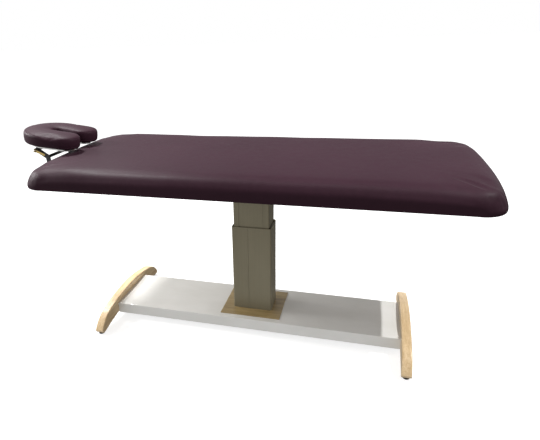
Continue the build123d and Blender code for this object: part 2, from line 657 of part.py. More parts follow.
# The motor lead runs from the gear case through the inner column and a cross tube to the box.
nodes["motor_lead"] = rod(*LEAD, LEAD_RADIUS)
nodes["inner_column"] = drill(nodes["inner_column"], [LEAD], LEAD_RADIUS)
nodes["frame_cross_tubes"] = solids_of(
    drill(solid, [LEAD], LEAD_RADIUS) for solid in nodes["frame_cross_tubes"].solids()
)

# ---------------------------------------------------------------- face cradle

post_outer = -(CROSS_BAR_X - CROSS_BAR / 2)
nodes["cradle_posts"] = solids_of(
    chamfer(
        rod((post_outer, y, OUTLET_Z), (post_outer + POST_LENGTH, y, OUTLET_Z), POST_RADIUS)
        .edges()
        .group_by(Axis.X)[-1],
        2,
    )
    for y in OUTLET_YS
)
bar_low = OUTLET_Z - CROSS_BAR / 2
bar_high = OUTLET_Z + CROSS_BAR / 2
bar_x = (-CROSS_BAR_X - CROSS_BAR / 2, -CROSS_BAR_X + CROSS_BAR / 2)
cross_bar = tube(bar_x, (-CROSS_BAR_HALF, CROSS_BAR_HALF), (bar_low, bar_high), 2.5, 1)
LUG_THICK = 6.0
LUG_ROUND = 12.5
lug_y = ARM_Y + ARM_THICK + 1.0
for side in (-1, 1):
    y = sorted((side * lug_y, side * (lug_y + LUG_THICK)))
    lug = block((LOWER_AXLE[0] - 13, LOWER_AXLE[0] + 12), y, (bar_high, LOWER_AXLE[1]))
    lug = lug + rod((LOWER_AXLE[0], y[0], LOWER_AXLE[1]), (LOWER_AXLE[0], y[1], LOWER_AXLE[1]), LUG_ROUND)
    below_bar_top = block(grown(bar_x, CROSS_BAR), grown(y, 1), (bar_low, bar_high))
    cross_bar = cross_bar + (lug - below_bar_top)


def across(point, half):
    """The two ends of a line along Y through a point of the side view."""
    return (point[0], -half, point[1]), (point[0], half, point[1])


lower_bore = rod(*across(LOWER_AXLE, CROSS_BAR_HALF + 10), AXLE_RADIUS + RUNNING_GAP)
upper_bore = rod(*across(UPPER_AXLE, CROSS_BAR_HALF + 10), AXLE_RADIUS + RUNNING_GAP)
nodes["cradle_cross_bar"] = cross_bar - lower_bore
nodes["cross_bar_caps"] = solids_of(
    block(bar_x, sorted((side * CROSS_BAR_HALF, side * (CROSS_BAR_HALF + 3))), (bar_low, bar_high))
    for side in (-1, 1)
)
lower_half = lug_y + LUG_THICK + 2


def arm_side(y):
    """A bent flat arm between the two axles, seen from the side in X and Z."""
    path = [LOWER_AXLE, ARM_BEND, UPPER_AXLE]
    plate = Part()
    for start, end in zip(path, path[1:]):
        run_x, run_z = end[0] - start[0], end[1] - start[1]
        middle = Pos(start[0] + run_x / 2, y, start[1] + run_z / 2)
        turned = Rot(0, -degrees(atan2(run_z, run_x)), 0)
        plate = plate + middle * turned * Box(hypot(run_x, run_z), ARM_THICK, ARM_WIDE)
    for point in path:
        plate = plate + Pos(point[0], y, point[1]) * Rot(90, 0, 0) * Cylinder(ARM_WIDE / 2, ARM_THICK)
    return plate


arms = []
for side in (-1, 1):
    arms.append(arm_side(side * (ARM_Y + ARM_THICK / 2)) - lower_bore - upper_bore)
nodes["cradle_arms"] = solids_of(arms)
nodes["arm_brace"] = rod(*across(ARM_BEND, ARM_Y), 7.0)
upper_half = ARM_Y + ARM_THICK + 2

face_place = Pos(PAD_CENTRE[0], 0, PAD_CENTRE[1]) * Rot(0, PAD_TILT, 0)


def crescent(inset, low, high, rounding):
    """The face pad's outline, a horseshoe open towards the table, as a block with rounded edges."""
    turn = radians(FACE_ARM_TURN)
    heading = (cos(turn), sin(turn))
    bend_end = (FACE_BEND_X + FACE_BEND * sin(turn), FACE_BEND * cos(turn))
    tip = (bend_end[0] + FACE_ARM * heading[0], bend_end[1] - FACE_ARM * heading[1])
    bend = ThreePointArc((bend_end[0], -bend_end[1]), (FACE_BEND_X - FACE_BEND, 0), bend_end)
    middle = Curve() + [Line((tip[0], -tip[1]), bend @ 0), bend, Line(bend @ 1, tip)]
    half = FACE_BAND / 2 - inset
    outline = trace(middle, 2 * half)
    for side in (-1, 1):
        outline = outline + Pos(tip[0], side * tip[1]) * Circle(half)
    body = Pos(0, 0, low) * extrude(outline, high - low)
    if rounding:
        body = fillet(body.edges().group_by(Axis.Z)[-1] + body.edges().group_by(Axis.Z)[0], rounding)
    return body


face_half = FACE_THICK / 2
face_outer = crescent(0, -face_half, face_half, FACE_ROUND)
face_inner = crescent(VINYL, -face_half + VINYL, face_half - VINYL, FACE_ROUND - VINYL)
nodes["face_cover"] = face_place * (face_outer - face_inner)
nodes["face_foam"] = face_place * face_inner
PLATE_INSET = 34.0
HOOK_INSET = 48.0
plate_high = -face_half - HOOK_THICK
plate_low = plate_high - PLATE_THICK
nodes["support_plate"] = face_place * crescent(PLATE_INSET, plate_low, plate_high, 0)
nodes["hook_strip"] = face_place * crescent(HOOK_INSET, plate_high, -face_half, 0)

# Each tilt lug is an upright ear on a flange that is screwed under the support plate.
TILT_LUG_Y = ARM_Y - 1.0
TILT_LUG_ROUND = 9.0
FLANGE_WIDE = 30.0
FLANGE_THICK = 3.0
local_axle = (face_place.inverse() * Pos(UPPER_AXLE[0], 0, UPPER_AXLE[1])).position
lug_x = grown((local_axle.X, local_axle.X), TILT_LUG_ROUND)
flange_x = (local_axle.X - 20, local_axle.X + 45)
tilt_lugs = []
for side in (-1, 1):
    y = sorted((side * (TILT_LUG_Y - LUG_THICK), side * TILT_LUG_Y))
    flange_y = sorted((side * (TILT_LUG_Y - FLANGE_WIDE), side * TILT_LUG_Y))
    ear_start = (local_axle.X, y[0], local_axle.Z)
    ear_end = (local_axle.X, y[1], local_axle.Z)
    lug = block(lug_x, y, (local_axle.Z, plate_low)) + rod(ear_start, ear_end, TILT_LUG_ROUND)
    lug = lug + block(flange_x, flange_y, (plate_low - FLANGE_THICK, plate_low))
    tilt_lugs.append(face_place * lug - upper_bore)
nodes["tilt_lugs"] = solids_of(tilt_lugs)


CAM_RADIUS = 8.0
CAM_WIDE = 12.0
CAM_REACH = 10.0
CAM_PIN_RADIUS = 2.0
TONGUE_THICK = 6.0
HANDLE_LENGTH = 54.0


def cam_lock(axle, half, side, towards):
    """An axle with a flat tongue on one end, a cross pin through it, and a forked cam lever."""
    tilt = degrees(atan2(-towards[1], towards[0]))
    place = Pos(axle[0], side * (half + CAM_REACH), axle[1]) * Rot(0, tilt, 0)
    tongue = block((-4, 4), sorted((-side * CAM_REACH, 0)), (-TONGUE_THICK / 2, TONGUE_THICK / 2))
    tongue = tongue + Cylinder(4, TONGUE_THICK)
    bar = rod(*across(axle, half), AXLE_RADIUS) + place * tongue
    pin_ends = (0, 0, -CAM_WIDE / 2), (0, 0, CAM_WIDE / 2)
    bar = bar - place * rod((0, 0, -CAM_WIDE), (0, 0, CAM_WIDE), CAM_PIN_RADIUS + HOLE_GAP)
    handle = Pos(HANDLE_LENGTH / 2, side * 2, 0) * Box(HANDLE_LENGTH, 5, 10)
    handle = fillet(handle.edges().filter_by(Axis.Y).group_by(Axis.X)[-1], 4)
    lever = Cylinder(CAM_RADIUS, CAM_WIDE) + handle
    lever = lever - Cylinder(CAM_RADIUS + 1.5, TONGUE_THICK + 0.6)
    lever = lever - rod((0, 0, -CAM_WIDE), (0, 0, CAM_WIDE), CAM_PIN_RADIUS + RUNNING_GAP)
    return bar, place * rod(*pin_ends, CAM_PIN_RADIUS), place * lever


lower_lock = cam_lock(LOWER_AXLE, lower_half, 1, (0.05, 1.0))
nodes["lower_axle"], nodes["lower_cam_pin"], nodes["lower_cam_lever"] = lower_lock
upper_lock = cam_lock(UPPER_AXLE, upper_half, -1, (0.93, -0.36))
nodes["upper_axle"], nodes["upper_cam_pin"], nodes["upper_cam_lever"] = upper_lock

# ---------------------------------------------------------------- place and write

boxes = [shape.bounding_box() for shape in nodes.values()]
middle_x = (min(box.min.X for box in boxes) + max(box.max.X for box in boxes)) / 2
print("column axis at X =", round(-middle_x, 3))
os.makedirs("parts", exist_ok=True)
for name, shape in nodes.items():
    solids = [solid.moved(Location((-middle_x, 0, 0))) for solid in shape.solids()]
    piece = solids[0] if len(solids) == 1 else Compound(solids)
    export_step(piece, os.path.join("parts", name + ".step"))
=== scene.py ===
from math import atan2, cos, pi, radians, sin, sqrt

import bmesh
import bpy
from mathutils import Matrix, Vector


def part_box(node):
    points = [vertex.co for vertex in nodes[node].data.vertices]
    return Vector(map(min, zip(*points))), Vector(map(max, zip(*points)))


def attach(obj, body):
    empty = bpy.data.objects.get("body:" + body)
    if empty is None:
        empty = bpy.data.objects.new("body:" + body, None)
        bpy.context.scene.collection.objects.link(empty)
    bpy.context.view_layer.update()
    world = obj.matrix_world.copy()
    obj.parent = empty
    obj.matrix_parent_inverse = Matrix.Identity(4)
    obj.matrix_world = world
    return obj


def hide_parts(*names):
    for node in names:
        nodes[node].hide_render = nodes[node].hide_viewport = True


# An electric-lift massage table. Everything is in metres, in the CAD model's own frame: +Z is up,
# the head end with its face cradle is at -X, and the camera looks from the near side, -Y.

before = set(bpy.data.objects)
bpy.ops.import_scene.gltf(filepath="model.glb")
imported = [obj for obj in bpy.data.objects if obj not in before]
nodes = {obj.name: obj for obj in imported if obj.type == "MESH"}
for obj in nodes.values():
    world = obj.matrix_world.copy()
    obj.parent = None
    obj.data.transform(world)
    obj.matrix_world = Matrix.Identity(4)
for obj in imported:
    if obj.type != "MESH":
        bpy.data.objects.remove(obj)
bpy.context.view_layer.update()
scene = bpy.context.scene


def add(name, data):
    """A new object in the scene."""
    thing = bpy.data.objects.new(name, data)
    scene.collection.objects.link(thing)
    return thing


# ---------------------------------------------------------------- camera

def aim(thing, yaw, pitch, roll):
    """Turns a camera to a heading from +Y, an angle below the horizon and a roll, in degrees."""
    yaw, pitch, roll = radians(yaw), radians(pitch), radians(roll)
    ahead = Vector((sin(yaw) * cos(pitch), cos(yaw) * cos(pitch), -sin(pitch)))
    level = ahead.cross(Vector((0, 0, 1))).normalized()
    upright = level.cross(ahead)
    right = level * cos(roll) + upright * sin(roll)
    up = upright * cos(roll) - level * sin(roll)
    thing.rotation_mode = "QUATERNION"
    thing.rotation_quaternion = Matrix((right, up, -ahead)).transposed().to_quaternion()


CAMERA_PAST_COLUMN = 0.4768
CAMERA_Y = -2.0122
CAMERA_Z = 1.3309

column_low, column_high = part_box("outer_column")
column_x = (column_low.x + column_high.x) / 2
camera = add("camera", bpy.data.cameras.new("camera"))
camera.location = (column_x + CAMERA_PAST_COLUMN, CAMERA_Y, CAMERA_Z)
camera.data.sensor_width = 36
camera.data.lens = 32.49
camera.data.shift_x = 0.0929
camera.data.shift_y = 0.0117
aim(camera, yaw=-17.67, pitch=22.19, roll=-2.58)
scene.camera = camera

# ---------------------------------------------------------------- materials

def look(name, colour, roughness, metallic=0.0, **sockets):
    """A material with one shader. Extra values go on the shader's own sockets."""
    made = bpy.data.materials.new(name)
    made.use_nodes = True
    shader = made.node_tree.nodes["Principled BSDF"]
    shader.inputs["Base Color"].default_value = (*colour, 1)
    shader.inputs["Roughness"].default_value = roughness
    shader.inputs["Metallic"].default_value = metallic
    for socket, value in sockets.items():
        shader.inputs[socket.replace("_", " ")].default_value = value
    return made


def shader_of(made):
    return made.node_tree.nodes["Principled BSDF"]


def join(made, start, end):
    made.node_tree.links.new(start, end)


def pattern(made, kind, stretch, **values):
    """A texture over the object's own coordinates; stretch is its scale along X, Y and Z, per metre."""
    tree = made.node_tree.nodes
    place = tree.new("ShaderNodeTexCoord")
    scale = tree.new("ShaderNodeMapping")
    scale.inputs["Scale"].default_value = stretch
    texture = tree.new("ShaderNodeTex" + kind)
    texture.inputs["Scale"].default_value = 1.0
    for name, value in values.items():
        if name == "feature":
            texture.feature = value
        else:
            texture.inputs[name.replace("_", " ")].default_value = value
    join(made, place.outputs["Object"], scale.inputs["Vector"])
    join(made, scale.outputs["Vector"], texture.inputs["Vector"])
    return texture.outputs["Distance" if kind == "Voronoi" else 0]


def ramp(made, value, *stops):
    """Turns a value into a colour through (place, colour) stops."""
    made_ramp = made.node_tree.nodes.new("ShaderNodeValToRGB")
    elements = made_ramp.color_ramp.elements
    while len(elements) < len(stops):
        elements.new(0.5)
    for element, (place, colour) in zip(elements, stops):
        element.position = place
        element.color = (*colour, 1)
    join(made, value, made_ramp.inputs["Fac"])
    return made_ramp.outputs["Color"]


def blended(made, mode, factor, first, second):
    """Two colours mixed by a constant factor."""
    mix = made.node_tree.nodes.new("ShaderNodeMix")
    mix.data_type = "RGBA"
    mix.blend_type = mode
    mix.inputs["Factor"].default_value = factor
    join(made, first, mix.inputs["A"])
    join(made, second, mix.inputs["B"])
    return mix.outputs["Result"]


def ranged(made, value, low, high):
    """A 0 to 1 value spread over another range."""
    spread = made.node_tree.nodes.new("ShaderNodeMapRange")
    spread.inputs["To Min"].default_value = low
    spread.inputs["To Max"].default_value = high
    join(made, value, spread.inputs["Value"])
    return spread.outputs["Result"]


def paint(made, colour):
    join(made, colour, shader_of(made).inputs["Base Color"])


def wear(made, value, low, high):
    join(made, ranged(made, value, low, high), shader_of(made).inputs["Roughness"])


def emboss(made, height, strength, distance, under=None):
    """A bump from a height; under is a coarser bump that it lies on."""
    bump = made.node_tree.nodes.new("ShaderNodeBump")
    bump.inputs["Strength"].default_value = strength
    bump.inputs["Distance"].default_value = distance
    join(made, height, bump.inputs["Height"])
    if under is not None:
        join(made, under, bump.inputs["Normal"])
    join(made, bump.outputs["Normal"], shader_of(made).inputs["Normal"])
    return bump.outputs["Normal"]


def vinyl():
    made = look("plum_vinyl", (0.0250, 0.0095, 0.0155), 0.52, Specular_IOR_Level=0.06)
    clouds = pattern(made, "Noise", (2.2, 2.6, 2.6), Detail=2.0)
    mottle = pattern(made, "Noise", (38, 38, 38), Detail=4.0)
    broad = ramp(made, clouds, (0.3, (0.0245, 0.0090, 0.0150)), (0.7, (0.0290, 0.0108, 0.0180)))
    fine = ramp(made, mottle, (0.3, (0.90, 0.90, 0.90)), (0.7, (1.0, 1.0, 1.0)))
    paint(made, blended(made, "MULTIPLY", 1.0, broad, fine))
    wear(made, mottle, 0.46, 0.58)
    pebbles = pattern(made, "Voronoi", (520, 520, 520), feature="SMOOTH_F1", Smoothness=0.6)
    pores = pattern(made, "Noise", (1500, 1500, 1500), Detail=3.0)
    grain = emboss(made, pebbles, 0.28, 0.0006)
    emboss(made, pores, 0.12, 0.0003, grain)
    return made


def timber(name, dark, light, stretch, roughness, coat=0.0):
    """Wood whose grain runs along the axis with the small stretch."""
    made = look(name, light, roughness, Coat_Weight=coat, Coat_Roughness=0.25)
    bands = pattern(made, "Noise", stretch, Detail=6.0, Distortion=0.7)
    flecks = pattern(made, "Noise", [6 * s for s in stretch], Detail=3.0)
    patches = pattern(made, "Noise", (7, 7, 7), Detail=1.0)
    grain = ramp(made, bands, (0.30, dark), (0.62, light))
    speckle = ramp(made, flecks, (0.32, (0.84, 0.80, 0.74)), (0.50, (1.0, 1.0, 1.0)))
    shade = ramp(made, patches, (0.3, (0.93, 0.92, 0.90)), (0.7, (1.0, 1.0, 1.0)))
    paint(made, blended(made, "MULTIPLY", 1.0, blended(made, "MULTIPLY", 0.8, grain, speckle), shade))
    wear(made, bands, roughness - 0.05, roughness + 0.10)
    emboss(made, flecks, 0.10, 0.0004)
    return made


def coated(name, colour, roughness, metallic, grain, depth, **sockets):
    """Painted or powder-coated metal and moulded plastic: an even colour with a fine texture."""
    made = look(name, colour, roughness, metallic, **sockets)
    dark = tuple(0.88 * c for c in colour)
    light = tuple(min(1.0, 1.08 * c) for c in colour)
    smears = pattern(made, "Noise", (9, 9, 9), Detail=4.0)
    specks = pattern(made, "Noise", (grain, grain, grain), Detail=2.0)
    paint(made, ramp(made, smears, (0.3, dark), (0.7, light)))
    wear(made, smears, max(0.03, roughness - 0.06), roughness + 0.08)
    emboss(made, specks, depth, 0.0004)
    return made


def bare_metal(name, colour, roughness, stretch, depth=0.08):
    """Bare metal with fine brush or turning marks along the axis with the small stretch."""
    made = look(name, colour, roughness, 1.0)
    marks = pattern(made, "Noise", stretch, Detail=3.0)
    stains = pattern(made, "Noise", (25, 25, 25), Detail=3.0)
    dark = tuple(0.80 * c for c in colour)
    paint(made, ramp(made, stains, (0.3, dark), (0.65, colour)))
    wear(made, marks, max(0.05, roughness - 0.10), roughness + 0.12)
    emboss(made, marks, depth, 0.0003)
    return made


def column_coat():
    """Champagne-olive metallic paint over a drawn profile, with faint upright draw lines."""
    made = look("column_coat", (0.22, 0.20, 0.14), 0.48, 0.18, Specular_IOR_Level=0.2)
    draw_lines = pattern(made, "Noise", (260, 260, 1.5), Detail=3.0)
    clouds = pattern(made, "Noise", (6, 6, 3), Detail=2.0)
    flakes = pattern(made, "Voronoi", (1400, 1400, 1400))
    lines = ramp(made, draw_lines, (0.35, (0.95, 0.95, 0.95)), (0.65, (1.0, 1.0, 1.0)))
    body = ramp(made, clouds, (0.3, (0.215, 0.192, 0.130)), (0.7, (0.250, 0.224, 0.155)))
    paint(made, blended(made, "MULTIPLY", 1.0, body, lines))
    wear(made, flakes, 0.34, 0.50)
    emboss(made, draw_lines, 0.03, 0.0002)
    return made


def platform_white():
    """High-gloss white laminate: shoe dust dulls it in patches."""
    made = look("white_cover", (0.80, 0.79, 0.76), 0.16, Coat_Weight=0.6, Coat_Roughness=0.06)
    dust = pattern(made, "Noise", (5, 9, 9), Detail=5.0)
    peel = pattern(made, "Noise", (160, 160, 160), Detail=1.0)
    paint(made, ramp(made, dust, (0.3, (0.74, 0.73, 0.69)), (0.7, (0.82, 0.81, 0.78))))
    wear(made, dust, 0.12, 0.26)
    emboss(made, peel, 0.03, 0.0004)
    return made


def hook_tape():
    made = look("hook_tape", (0.02, 0.02, 0.022), 0.95, Sheen_Weight=0.5, Sheen_Roughness=0.6)
    hooks = pattern(made, "Voronoi", (650, 650, 650))
    paint(made, ramp(made, hooks, (0.1, (0.035, 0.035, 0.04)), (0.6, (0.008, 0.008, 0.01))))
    emboss(made, hooks, 0.8, 0.0010)
    return made


MAPLE_DARK, MAPLE_LIGHT = (0.66, 0.46, 0.24), (0.82, 0.62, 0.37)
TRIM_DARK, TRIM_LIGHT = (0.26, 0.185, 0.078), (0.42, 0.31, 0.145)
looks = {
    "plum_vinyl": vinyl(),
    "maple": timber("maple", MAPLE_DARK, MAPLE_LIGHT, (90, 7, 90), 0.34, coat=0.35),
    "trim_wood": timber("trim_wood", TRIM_DARK, TRIM_LIGHT, (6, 70, 70), 0.36, coat=0.3),
    "plywood": timber("plywood", (0.42, 0.27, 0.14), (0.62, 0.45, 0.27), (5, 60, 60), 0.62),
    "column_coat": column_coat(),
    "white_cover": platform_white(),
    "hook_tape": hook_tape(),
    "foam": coated("foam", (0.80, 0.74, 0.50), 0.9, 0.0, 700, 0.6),
    "rubber": coated("rubber", (0.018, 0.018, 0.018), 0.72, 0.0, 500, 0.35),
    "frame_steel": coated("frame_steel", (0.028, 0.028, 0.030), 0.42, 0.2, 900, 0.30),
    "black_screws": coated("black_screws", (0.025, 0.025, 0.025), 0.36, 0.7, 1200, 0.15),
    "motor_black": coated("motor_black", (0.022, 0.022, 0.024), 0.40, 0.3, 900, 0.25),
    "cradle_black": coated("cradle_black", (0.022, 0.022, 0.022), 0.38, 0.3, 1000, 0.25),
    "box_plastic": coated("box_plastic", (0.03, 0.03, 0.032), 0.55, 0.0, 1100, 0.40),
    "bush_plastic": coated("bush_plastic", (0.022, 0.022, 0.022), 0.40, 0.0, 1300, 0.15),
    "lead_jacket": coated("lead_jacket", (0.025, 0.025, 0.027), 0.50, 0.0, 900, 0.20),
    "slide_plastic": coated("slide_plastic", (0.74, 0.74, 0.71), 0.42, 0.0, 900, 0.12),
    "cast_case": coated("cast_case", (0.46, 0.46, 0.45), 0.50, 0.9, 420, 0.55),
    "zinc_bolts": bare_metal("zinc_bolts", (0.60, 0.60, 0.57), 0.32, (500, 500, 500)),
    "drive_steel": bare_metal("drive_steel", (0.52, 0.52, 0.51), 0.28, (600, 600, 40)),
    "post_steel": bare_metal("post_steel", (0.66, 0.66, 0.65), 0.20, (30, 700, 700)),
    "plate_aluminium": bare_metal("plate_aluminium", (0.70, 0.70, 0.68), 0.32, (20, 600, 600), 0.12),
    "bronze": bare_metal("bronze", (0.50, 0.31, 0.13), 0.34, (500, 500, 60)),
    "lever_brass": bare_metal("lever_brass", (0.58, 0.43, 0.17), 0.26, (400, 400, 400)),
}
# Each CAD node comes with a plain material named after its slot.
for thing in nodes.values():
    for place in thing.material_slots:
        place.material = looks[place.material.name.split(".")[0]]

# ---------------------------------------------------------------- soft pieces

def skinned(name, loops, material):
    """A mesh from rings of points, each ring joined to the next, with doubled points welded."""
    count = len(loops[0])
    points = [point for loop in loops for point in loop]
    faces = []
    for row in range(len(loops) - 1):
        low, high = row * count, (row + 1) * count
        for i in range(count):
            j = (i + 1) % count
            faces.append((low + i, low + j, high + j, high + i))
    mesh = bpy.data.meshes.new(name)
    mesh.from_pydata(points, [], faces)
    work = bmesh.new()
    work.from_mesh(mesh)
    bmesh.ops.remove_doubles(work, verts=work.verts, dist=1e-5)
    bmesh.ops.recalc_face_normals(work, faces=work.faces)
    work.to_mesh(mesh)
    work.free()
    for face in mesh.polygons:
        face.use_smooth = True
    mesh.materials.append(material)
    return add(name, mesh)


def settle(piece, held, pressure, shrink, cap, frames):
    """Cloth simulation: the cover fills under a little pressure and pulls against its held points.
    No point ends further than cap from where it started."""
    start = [vertex.co.copy() for vertex in piece.data.vertices]
    group = piece.vertex_groups.new(name="held")
    group.add([i for i, co in enumerate(start) if held(co)], 1.0, "REPLACE")
    modifier = piece.modifiers.new("cover_cloth", "CLOTH")
    cloth = modifier.settings
    cloth.quality = 6
    cloth.mass = 0.4
    cloth.tension_stiffness = 30
    cloth.compression_stiffness = 30
    cloth.shear_stiffness = 12
    cloth.bending_stiffness = 2.0
    cloth.use_pressure = True
    cloth.uniform_pressure_force = pressure
    cloth.shrink_min = shrink
    cloth.vertex_group_mass = "held"
    cloth.effector_weights.gravity = 0
    modifier.point_cache.frame_start = 1
    modifier.point_cache.frame_end = frames
    for number in range(1, frames + 1):
        scene.frame_set(number)
    moved = piece.evaluated_get(bpy.context.evaluated_depsgraph_get()).data
    ends = [vertex.co.copy() for vertex in moved.vertices]
    piece.modifiers.remove(modifier)
    piece.vertex_groups.clear()
    for vertex, was, now in zip(piece.data.vertices, start, ends):
        step = now - was
        if step.length > cap:
            step *= cap / step.length
        vertex.co = was + step
    scene.frame_set(1)


def refine(piece):
    modifier = piece.modifiers.new("smooth", "SUBSURF")
    modifier.levels = 1
    modifier.render_levels = 1


# ---------------------------------------------------------------- table top

top_low, top_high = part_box("table_cover")
board_low, board_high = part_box("deck_board")
MIDDLE = (top_low + top_high) / 2
HALF_X = (top_high.x - top_low.x) / 2
HALF_Y = (top_high.y - top_low.y) / 2
CORNER = 0.103
END_RADIUS = 3.370
WRAP = 0.045
VINYL = 0.0015
BOARD_GAP = 0.0003
UNDER_ROUND = 0.007
EDGE_IN = 0.053
EDGE_DOWN = 0.061
CROWN = 0.004
CORNER_SQUARE = 0.020
SQUARE_FROM = 0.050
SQUARE_FADE = 0.035
CORNER_REACH_X = 2.2 * CORNER
CORNER_REACH_Y = 1.6 * CORNER
GATHER_COUNT = 46
GATHER_DEPTH = 0.0010
EASE_IN = 0.0045
EASE_DOWN = 0.0024
CORNER_IN = 0.003
CORNER_DOWN = 0.005


def plan_stations(step):
    """Points round the top's plan with the way out at each: bowed ends, round corners, straight sides."""
    end_centre = HALF_X - END_RADIUS
    corner_y = HALF_Y - CORNER
    corner_x = end_centre + sqrt((END_RADIUS - CORNER) ** 2 - corner_y**2)
    meet = atan2(corner_y, corner_x - end_centre)
    quarter = []
    runs = round(END_RADIUS * meet / step)
    for i in range(runs):
        a = meet * i / runs
        quarter.append((end_centre + END_RADIUS * cos(a), END_RADIUS * sin(a), cos(a), sin(a)))
    turns = round(CORNER * (pi / 2 - meet) / (0.7 * step))
    for i in range(turns):
        a = meet + (pi / 2 - meet) * i / turns
        quarter.append((corner_x + CORNER * cos(a), corner_y + CORNER * sin(a), cos(a), sin(a)))
    runs = round(corner_x / step)
    for i in range(runs):
        quarter.append((corner_x * (1 - i / runs), HALF_Y, 0.0, 1.0))
    quarter.append((0.0, HALF_Y, 0.0, 1.0))
    half = quarter + [(-x, y, -nx, ny) for x, y, nx, ny in quarter[-2::-1]]
    return half + [(x, -y, nx, -ny) for x, y, nx, ny in half[-2:0:-1]]


def corner_share(x, y):
    """1 in the middle of a corner's turn, 0 along the sides and ends."""
    along_x = max(0.0, (abs(x) - (HALF_X - CORNER_REACH_X)) / CORNER_REACH_X)
    along_y = max(0.0, (abs(y) - (HALF_Y - CORNER_REACH_Y)) / CORNER_REACH_Y)
    return min(1.0, 2.5 * along_x * along_y)


def pull(x, y):
    """How far the hand-pulled cover eases in or out of line here, from -1 to 1."""
    side = 1.0 if y > 0 else -1.0
    slow = sin(5.1 * x + 2.4 * side) + 0.6 * sin(11.3 * x - 1.1 * side + 0.9 * y)
    return (slow + 0.3 * sin(23.0 * x + 7.0 * y + side)) / 1.9


def square_corner(nx, ny, height):
    """How far the board's squarer corner pushes the cover out below the rounding of the top edge."""
    fade = min(1.0, max(0.0, (top_low.z + SQUARE_FROM - height) / SQUARE_FADE))
    return CORNER_SQUARE * (abs(nx) + abs(ny) - 1) * fade


def crown(x, y):
    """The height of the filled top at a point of its plan, before its edge rounds off."""
    bulge = abs((x - MIDDLE.x) / HALF_X) ** 8 + abs((y - MIDDLE.y) / HALF_Y) ** 2
    return top_high.z - CROWN * min(1.0, bulge)


def edge_profile():
    """(inset, height, softness) from the wrap's cut edge, round the side, up to the flat of the top."""
    under = top_low.z
    steps = [
        (WRAP, under + VINYL, 0.0),
        (WRAP, under, 0.0),
        (0.034, under, 0.0),
        (0.022, under, 0.0),
        (UNDER_ROUND, under, 0.0),
    ]
    for a in (25, 50, 75):
        inset = UNDER_ROUND * (1 - sin(radians(a)))
        steps.append((inset, under + UNDER_ROUND * (1 - cos(radians(a))), 0.0))
    steps.append((0.0, board_high.z - 0.006, 0.0))
    steps.append((0.0, board_high.z, 0.05))
    for a in range(0, 91, 9):
        inset = EDGE_IN * (1 - cos(radians(a)))
        height = top_high.z - CROWN - EDGE_DOWN * (1 - sin(radians(a)))
        steps.append((inset, height, 0.1 + 0.9 * a / 90))
    return steps


def table_upholstery():
    stations = plan_stations(0.0125)
    board_side = VINYL + BOARD_GAP
    loops = []

    def ring(inset, height, softness):
        """One loop of the cover. Softness is 0 where the board holds it and 1 on the open top."""
        loop = []
        for x, y, nx, ny in stations:
            wave = pull(x, y) * softness
            turn = corner_share(x, y)
            gathers = sin(GATHER_COUNT * atan2(ny, nx)) * turn * (1 - softness) * GATHER_DEPTH
            inward = inset + EASE_IN * max(0.0, wave) + CORNER_IN * turn * softness
            drop = EASE_DOWN * wave + CORNER_DOWN * turn * softness
            fold = -min(0.0, gathers) if 0 < softness < 0.6 else 0.0
            inward += fold - square_corner(nx, ny, height)
            loop.append(Vector((
                MIDDLE.x + x - nx * inward,
                MIDDLE.y + y - ny * inward,
                min(height - max(0.0, drop), top_high.z),
            )))
        return loop

    # The closed inside, round the deck board, then out under the wrap and up round the edge.
    inside = [
        (board_side + 0.004, board_high.z + BOARD_GAP),
        (board_side - 0.0002, board_high.z - 0.002),
        (board_side - 0.0002, board_low.z + UNDER_ROUND),
        (0.0125, board_low.z - 0.0002),
    ]
    outer = [ring(inset, height, soft) for inset, height, soft in edge_profile()]
    reach = HALF_X - HALF_Y
    spine = [Vector((MIDDLE.x + max(-reach, min(reach, x)), MIDDLE.y, 0)) for x, y, nx, ny in stations]
    for share in (1.0, 0.5):
        loop = []
        for s, p in zip(spine, ring(0.01, 0.0, 0.0)):
            x, y = s.x + (p.x - s.x) * (1 - share), s.y + (p.y - s.y) * (1 - share)
            loop.append(Vector((x, y, board_high.z + BOARD_GAP)))
        loops.append(loop)
    for inset, height in inside:
        loops.append([
            Vector((MIDDLE.x + x - nx * inset, MIDDLE.y + y - ny * inset, height))
            for x, y, nx, ny in stations
        ])
    loops += outer
    rim = outer[-1]
    for share in (0.05, 0.12, 0.22, 0.34, 0.48, 0.62, 0.76, 0.88, 1.0):
        fade = (1 - share) ** 6
        loop = []
        for s, p in zip(spine, rim):
            x, y = s.x + (p.x - s.x) * (1 - share), s.y + (p.y - s.y) * (1 - share)
            loop.append(Vector((x, y, crown(x, y) + (p.z - crown(p.x, p.y)) * fade)))
        loops.append(loop)
    return skinned("table_upholstery", loops, looks["plum_vinyl"])


def over_the_board(co):
    return co.z < board_high.z + 0.003


table = table_upholstery()
settle(table, over_the_board, pressure=0.6, shrink=0.002, cap=0.003, frames=10)
refine(table)
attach(table, "top")
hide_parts("table_cover", "table_foam")

# ---------------------------------------------------------------- face pad

PAD_CENTRE = Vector((column_x - 0.951, 0, 0.883))
PAD_TILT = radians(6.5)
PAD_SQUARENESS = 2 / 4.6
BAND_HALF = 0.0660
PAD_HALF = 0.032
BEND = 0.085
BEND_CENTRE_X = -0.013
ARM_TURN = radians(4)
ARM_LENGTH = 0.089
SEAM_HEIGHT = -0.013
SEAM_HALF = 0.0028
SEAM_DEPTH = 0.0022


def pad_point(x, y, z):
    """From the tilted pad's own coordinates to the model's."""
    turned_x = x * cos(PAD_TILT) + z * sin(PAD_TILT)
    turned_z = -x * sin(PAD_TILT) + z * cos(PAD_TILT)
    return PAD_CENTRE + Vector((turned_x, y, turned_z))


